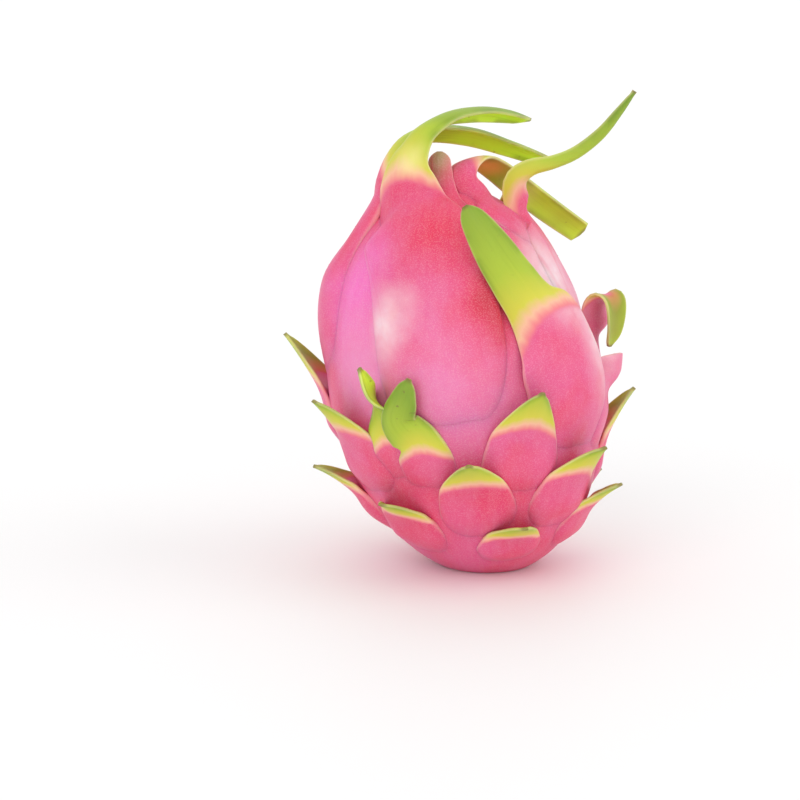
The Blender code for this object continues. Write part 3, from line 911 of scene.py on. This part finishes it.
# Amber for the orange-yellow of a shaded inner face, painted lighter
AMBER_WITH_PAINTED_LIGHT = (0.95, 0.50, 0.12, 1)
SPOTS = [
    ((-44, -22, 98), (22, 22, 40), MAGENTA, 0.9),
    ((-42, -30, 72), (24, 24, 32), LILAC, 0.9),
    ((-14, -44, 74), (38, 24, 36), LILAC, 0.7),
    ((-17, -30, 120), (22, 24, 22), CORAL, 1.0),
    ((-2, -42, 96), (18, 20, 28), CORAL, 0.9),
    # Painted shade: a deep red spot below the front blade stands for its shadow, over a deeper
    # red flush
    ((0, -42, 97), (12, 15, 21), FLUSH_AND_BLADE_SHADE, 0.85),
    ((-8, -18, 128), (16, 12, 10), CORAL, 0.75),
    # Painted highlight: a pale spot on the left front
    ((-32, -36, 91), (13, 14, 17), BLOOM_AND_HIGHLIGHT, 0.95),
    ((-31, -37, 95), (4, 6, 4), PEACH, 0.4),
    # Painted reflection: two pale spots along the right shoulder stand for the white surroundings
    # mirrored there
    ((22, -24, 106), (19, 24, 28), BLOOM_AND_HIGHLIGHT, 1.0),
    ((37, -18, 88), (14, 24, 34), BLOOM_AND_HIGHLIGHT, 1.0),
    ((20, -40, 82), (18, 16, 12), CORAL, 0.35),
    ((-2, -36, 34), (60, 46, 22), CORAL, 0.4),
    ((-16.5, -8, 145), (11, 11, 17), TAN, 1.0),
    ((-14.4, 0, 129), (6, 6, 6), SCAR, 0.95),
    ((0, 0, 0), (9, 9, 4), SCAR, 0.95),
    ((10, 40, 90), (40, 30, 50), CORAL, 0.4),
    ((-40, 20, 60), (30, 40, 50), LILAC, 0.5),
]
BLADE_SPOTS = [
    # Painted light: the amber and lemon spots lighten the shaded inner arch of the crown strap,
    # over its orange-yellow
    ((1, 5, 138), (11, 11, 9), AMBER_WITH_PAINTED_LIGHT, 0.85),
    ((12, 12, 130), (12, 12, 12), LEMON_HIGHLIGHT, 0.3),
    ((27, 19, 118), (18, 14, 16), LIME, 0.7),
    # Painted light: a bright lime spot on the shaded inner face of the left back bract
    ((6, 18, 146), (30, 8, 8), LIME_WITH_PAINTED_LIGHT, 0.8),
    # Painted highlight: a pale lemon spot on the neck of the front left bract
    ((-28, -16, 142), (9, 9, 9), LEMON_HIGHLIGHT, 0.6),
    ((43, 0, 84), (10, 10, 15), RUSSET, 0.75),
    ((-16, -6, 157), (18, 12, 8), GREEN, 0.55),
]
TAUT_SKIN = ((-19, -44, 88), (34, 50, 90))
OUTER_STEPS = [(0.0, PINK), (0.05, BLUSH), (0.11, PEACH), (0.2, YELLOW), (0.45, LIME),
               (1.0, GREEN)]
INNER_STEPS = [(0.0, CORAL), (0.07, ORANGE), (0.25, OLIVE), (1.0, LIME_WITH_PAINTED_LIGHT)]
print(len(SPOTS), "spots on the skin,", len(BLADE_SPOTS), "on the blades")


# %% Helpers of the material
def spot_mask(place, centre, size):
    """1 at a soft spot's centre, 0 outside it."""
    scaled = (place - Vector(centre) * MM) / (Vector(size) * MM)
    return 1 - ramp(0.0, 1.0, of("LENGTH", scaled))


def spotted(tree, colour, about, spots, mottle=1.0):
    """Lays soft spots over a colour."""
    for centre, size, tint, strength in spots:
        share = spot_mask(about, centre, size) * (mottle * strength)
        colour = blend(tree, share, colour, tint)
    return colour


def mask_of(tree, name):
    return add(tree, "ShaderNodeAttribute", output="Fac", attribute_name=name)


def lengthwise(tree, masks, across, along, detail):
    """Noise that is drawn out along a bract."""
    stretched = vector_of(tree, masks["across"] * across, masks["along"] * along, 0.0)
    return noise(stretched, 1.0, detail)


def colour_steps(tree, share, steps):
    """A run of colours: steps holds pairs of a share and the colour there."""
    node = tree.nodes.new("ShaderNodeValToRGB")
    feed(tree, node.inputs[0], share)
    stops = node.color_ramp.elements
    stops[0].position, stops[0].color = steps[0]
    stops[1].position, stops[1].color = steps[-1]
    for position, colour in steps[1:-1]:
        stops.new(position).color = colour
    return Field(tree, node.outputs[0])


def new_material(name):
    material = bpy.data.materials.new(name)
    material.use_nodes = True
    tree = material.node_tree
    return material, tree, tree.nodes["Principled BSDF"]


# %% [markdown]
# The colours lie over one another like thin coats: the skin first, then the blade where the
# green mask asks for it, and the worn places last. Each coat is a function of its own, so that
# it can be changed alone. The relief of the same noises goes into one Bump node.

# %% The colour of the skin
CORAL_AREAS = (0.4, 0.65)
CORAL_STRENGTH = 0.6
MOTTLE_SCALE = 320
MOTTLE_RANGE = (0.72, 1.28)
STREAK_STRENGTH = 0.04
SPECK_VALUES = {"Scale": 2700.0, "Share": 0.5}
SPECK_STRENGTH = 0.13
CREASE_SHADE_STRENGTH = 0.3


def skin_colour(tree, place, about, uneven, streaks, crease):
    """Pink, coral areas, soft spots with painted light and shade, streaks, specks, painted shade
    in creases.
    """
    colour = blend(tree, ramp(*CORAL_AREAS, uneven) * CORAL_STRENGTH, PINK, CORAL)
    mottle = lerp(*MOTTLE_RANGE, noise(place, MOTTLE_SCALE, detail=4.0))
    colour = spotted(tree, colour, about, SPOTS, mottle)
    colour = blend(tree, streaks * STREAK_STRENGTH, colour, BLOOM_AND_HIGHLIGHT)
    specks = use(tree, SPECKS, {"Vector": place, **SPECK_VALUES}, SHADER)["Mask"]
    colour = blend(tree, specks * SPECK_STRENGTH, colour, BLOOM_AND_HIGHLIGHT)
    # Painted shade: the crease lines are darkened with a deep red
    return blend(tree, crease * CREASE_SHADE_STRENGTH, colour, CREASE_SHADE)


# %% The colour of a blade
FIBRE_LINES = (0.45, 0.75)
FIBRE_STRENGTH = 0.13
PATCH_SCALE = 85
PATCH_AREAS = (0.42, 0.6)
EDGE_STRENGTH = 0.55


def blade_colour(tree, place, about, masks, green, leafy, fibre):
    """From pink at the root to green at the tip, on both faces, with painted light on shaded
    blades.
    """
    outer = colour_steps(tree, green, OUTER_STEPS)
    inner = colour_steps(tree, green, INNER_STEPS)
    colour = blend(tree, masks["inner"], outer, inner)
    fibres = ramp(*FIBRE_LINES, fibre) * leafy * FIBRE_STRENGTH
    colour = blend(tree, fibres, colour, DEEP_GREEN)
    patches = ramp(*PATCH_AREAS, noise(place, PATCH_SCALE))
    edge = masks["edge"] * patches * leafy * EDGE_STRENGTH
    colour = blend(tree, edge, colour, DEEP_GREEN)
    return spotted(tree, colour, about, BLADE_SPOTS)


# %% Margins, dry tips and flecks
RIM_TURNS_CREAM = (0.0, 0.25)
MARGIN_STRENGTH = 0.6
MARGIN_LOSS_ON_GREEN = 0.22
DRY_END = (0.7, 1.0)
DRY_STRENGTH = 0.7
FLECK_SCALE = 380
FLECK_EDGE = (0.66, 0.74)
FLECK_AREA_SCALE = 70
FLECK_AREAS = (0.45, 0.6)
FLECK_STRENGTH = 0.55
BROWN_ON_GREEN = (0.3, 0.6)


def worn_colour(tree, place, masks, green, leafy, colour):
    """Lays the pale margin, the dry tip and the brown flecks over a colour."""
    rim_tint = blend(tree, ramp(*RIM_TURNS_CREAM, green), ROSE_CREAM, CREAM)
    rim = masks["margin"] * (MARGIN_STRENGTH - leafy * MARGIN_LOSS_ON_GREEN)
    colour = blend(tree, rim, colour, rim_tint)
    dry = ramp(*DRY_END, masks["tip"]) * DRY_STRENGTH
    areas = ramp(*FLECK_AREAS, noise(place, FLECK_AREA_SCALE))
    flecks = ramp(*FLECK_EDGE, noise(place, FLECK_SCALE, detail=3.0)) * areas * FLECK_STRENGTH
    brown = of("MAXIMUM", dry, flecks) * ramp(*BROWN_ON_GREEN, green)
    return blend(tree, brown, colour, DRY)


# %% The fruit's material
UNEVEN_SCALE = 45
WANDER_SCALE = 60.0
WANDER_REACH = 12 * MM
STREAKS_ROUND = 14.0
CREASE_START = 78 * MM
CREASES_END = (0.0, 0.06)
RIPPLES = (400, 40)
RIPPLE_SHIFT = 0.08
RIPPLE_BEGINS = (0.0, 0.08)
FIBRES = (1300, 55)
BLADE_BEGINS = (0.0, 0.05)
LEAFY = (0.25, 0.6)
ROUGHNESS = (0.36, 0.5)
FINE_SCALE = 900
RELIEF = {"fine": 0.25, "streaks": 0.15, "ripple": 0.8, "fibres": 0.12, "creases": 1.1}
BUMP = {"Strength": 0.35, "Distance": 0.35 * MM}
SHADER_VALUES = {
    "Specular IOR Level": 0.2,
    "Subsurface Weight": 0.25,
    "Subsurface Radius": (1.0, 0.45, 0.3),
    "Subsurface Scale": 2.5 * MM,
    "Coat Weight": 0.06,
    "Coat Roughness": 0.25,
}


def make_skin_material():
    material, tree, shader = new_material("fruit_skin")
    place = add(tree, "ShaderNodeTexCoord", output="Object")
    masks = {name: mask_of(tree, name) for name in BRACT_MASKS}
    uneven = noise(place, UNEVEN_SCALE, detail=3.0)
    shifts = {"Vector": place, "Scale": WANDER_SCALE}
    wander = add(tree, "ShaderNodeTexNoise", shifts, "Color")
    about = place + (wander - (0.5, 0.5, 0.5)) * WANDER_REACH
    up_fruit = {"Vector": place, "Finer": STREAKS_ROUND}
    streaks = use(tree, STREAKS, up_fruit, SHADER)["Mask"]
    up_bract = {"Vector": about, "Across": masks["across"], "Along": masks["along"],
                "Start": CREASE_START}
    crease = use(tree, CREASES, up_bract, SHADER)["Mask"]
    plain = of("MAXIMUM", ramp(*CREASES_END, masks["green"]), spot_mask(place, *TAUT_SKIN))
    crease = crease * (1 - plain)

    ripple = lengthwise(tree, masks, *RIPPLES, detail=3.0)
    fibre = lengthwise(tree, masks, *FIBRES, detail=2.0)
    shift = (ripple - 0.5) * RIPPLE_SHIFT * ramp(*RIPPLE_BEGINS, masks["green"])
    green = masks["green"] + shift
    leafy = ramp(*LEAFY, green)
    skin = skin_colour(tree, place, about, uneven, streaks, crease)
    blade = blade_colour(tree, place, about, masks, green, leafy, fibre)
    colour = blend(tree, ramp(*BLADE_BEGINS, green), skin, blade)
    colour = worn_colour(tree, place, masks, green, leafy, colour)
    feed(tree, shader.inputs["Base Color"], colour)
    feed(tree, shader.inputs["Roughness"], lerp(*ROUGHNESS, uneven))

    relief = noise(place, FINE_SCALE) * RELIEF["fine"] + streaks * RELIEF["streaks"]
    leaf_relief = ripple * RELIEF["ripple"] + fibre * RELIEF["fibres"]
    relief = relief + leaf_relief * masks["green"] - crease * RELIEF["creases"]
    bump = add(tree, "ShaderNodeBump", {"Height": relief, **BUMP})
    feed(tree, shader.inputs["Normal"], bump)
    for name, value in SHADER_VALUES.items():
        shader.inputs[name].default_value = value
    print(material.name, "has", len(tree.nodes), "nodes")
    return material


SKIN_FINISH = make_skin_material()

# %% [markdown]
# ## Growing the fruit
#
# Now the trees run: once for the body, and once for every bract. The bracts go in a collection,
# and one more small tree joins them to the body.

# %% Grow the body and the bracts
BODY_SIDES = 224
BODY_RINGS = 140
BODY_VALUES = {"Sides": BODY_SIDES, "Rings": BODY_RINGS, "Swell": 1.2 * MM, "Fold": 1.0 * MM,
               "Finish": SKIN_FINISH}
ROOT_FOLD = 1.6 * MM
SHOWN_RINGS = (72, 48)
GROWN_RINGS = (30, 32)
body = grow("fruit_body", BODY_TREE, BODY_VALUES)
print("body:", len(body.data.polygons), "faces")


def grow_bract(name, root, blade, blunt, lip, green, rings, ring_points):
    green_from, green_to, slant = green
    values = {
        "Last Root Knot": len(root) - 1,
        "Rings": rings,
        "Ring Points": ring_points,
        "Blunt": blunt * MM,
        "Lip": lip * MM,
        "Green From": green_from,
        "Green To": green_to,
        "Green Slant": slant,
        "Fold": ROOT_FOLD,
        "Finish": SKIN_FINISH,
    }
    return grow(name, BRACT_TREE, values, knot_mesh(name, knots_of(root, blade)))


bracts = []
for name, shape in SHOWN_BRACTS.items():
    bracts.append(grow_bract(name, *shape, *SHOWN_RINGS))
for number, numbers in enumerate(GROWN_BRACTS):
    shape = grown_bract(*numbers)
    bracts.append(grow_bract(f"grown_{number}", *shape, *GROWN_RINGS))
print("bracts:", sum(len(bract.data.polygons) for bract in bracts), "faces")

# %% Join them
def make_join_tree():
    tree, given = new_tree("Grown together", "GeometryNodeTree",
                           {"Body": "mesh", "Bracts": "pieces", "Finish": "finish"},
                           {"Mesh": "mesh"})
    blades = add(tree, "GeometryNodeCollectionInfo", {"Collection": given["Bracts"]})
    joint = tree.nodes.new("GeometryNodeJoinGeometry")
    tree.links.new(given["Body"].socket, joint.inputs[0])
    tree.links.new(blades.socket, joint.inputs[0])
    whole = add(tree, "GeometryNodeRealizeInstances", {"Geometry": Field(tree, joint.outputs[0])})
    whole = add(tree, "GeometryNodeSetShadeSmooth", {"Geometry": whole, "Shade Smooth": True})
    finish = {"Geometry": whole, "Material": given["Finish"]}
    close_tree(tree, {"Mesh": add(tree, "GeometryNodeSetMaterial", finish)})
    return tree


basket = bpy.data.collections.new("bracts")
for bract in bracts:
    bpy.context.scene.collection.objects.unlink(bract)
    basket.objects.link(bract)
bpy.context.scene.collection.children.link(basket)
fruit = grow("fruit", make_join_tree(), {"Bracts": basket, "Finish": SKIN_FINISH}, body.data)
for thing in bracts + [body]:
    bpy.data.objects.remove(thing)
bpy.data.collections.remove(basket)
print("fruit:", len(fruit.data.vertices), "points,", len(fruit.data.polygons), "faces")

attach(fruit, "root")
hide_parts("dragon_fruit")

# %% [markdown]
# ## The picture
#
# The fruit stands on a pale floor in soft studio light. The camera looks down on it by eleven
# degrees through a long lens, which keeps the egg's outline nearly true.

# %% Floor
FLOOR_SIZE = 80.0
FLOOR_WHITE = (0.93, 0.93, 0.93, 1)
FLOOR_ROUGHNESS = 0.6
bpy.ops.mesh.primitive_plane_add(size=FLOOR_SIZE)
floor = bpy.context.object
floor.name = "floor"
floor_finish, _, floor_shader = new_material("floor_white")
floor_shader.inputs["Base Color"].default_value = FLOOR_WHITE
floor_shader.inputs["Roughness"].default_value = FLOOR_ROUGHNESS
floor.data.materials.append(floor_finish)
print("floor:", FLOOR_SIZE, "m wide")

# %% Light
SKY_STRENGTH = 0.86
LAMPS = [("key", -30, 35, 0.5, 40), ("front", 10, 12, 0.25, 50),
         ("right_fill", 80, 30, 0.5, 50), ("back", 180, 50, 0.25, 50)]
world = bpy.data.worlds.new("studio")
world.use_nodes = True
sky = world.node_tree.nodes["Background"]
sky.inputs["Color"].default_value = (1, 1, 1, 1)
sky.inputs["Strength"].default_value = SKY_STRENGTH
bpy.context.scene.world = world


def soft_sun(name, azimuth, elevation, power, spread):
    """A lamp far away: azimuth 0 is behind the camera and 90 is on the right."""
    lamp = bpy.data.lights.new(name, "SUN")
    lamp.energy = power
    lamp.angle = math.radians(spread)
    thing = link(name, lamp)
    turn, rise = math.radians(azimuth), math.radians(elevation)
    towards = Vector((math.sin(turn) * math.cos(rise), -math.cos(turn) * math.cos(rise),
                      math.sin(rise)))
    thing.rotation_euler = towards.to_track_quat("Z", "Y").to_euler()


for values in LAMPS:
    soft_sun(*values)
print(len(LAMPS), "lamps")

# %% Camera
LENS = 100
SENSOR = 36
CAMERA_PLACE = (-0.0298, -0.7549, 0.2043)
LOOKS_DOWN = math.radians(11)
camera = bpy.data.cameras.new("camera")
camera.lens = LENS
camera.sensor_width = SENSOR
camera_object = link("camera", camera)
camera_object.location = CAMERA_PLACE
camera_object.rotation_euler = (math.pi / 2 - LOOKS_DOWN, 0, 0)
bpy.context.scene.camera = camera_object
bpy.context.scene.view_settings.view_transform = "Standard"
print("camera:", LENS, "mm lens at", CAMERA_PLACE)
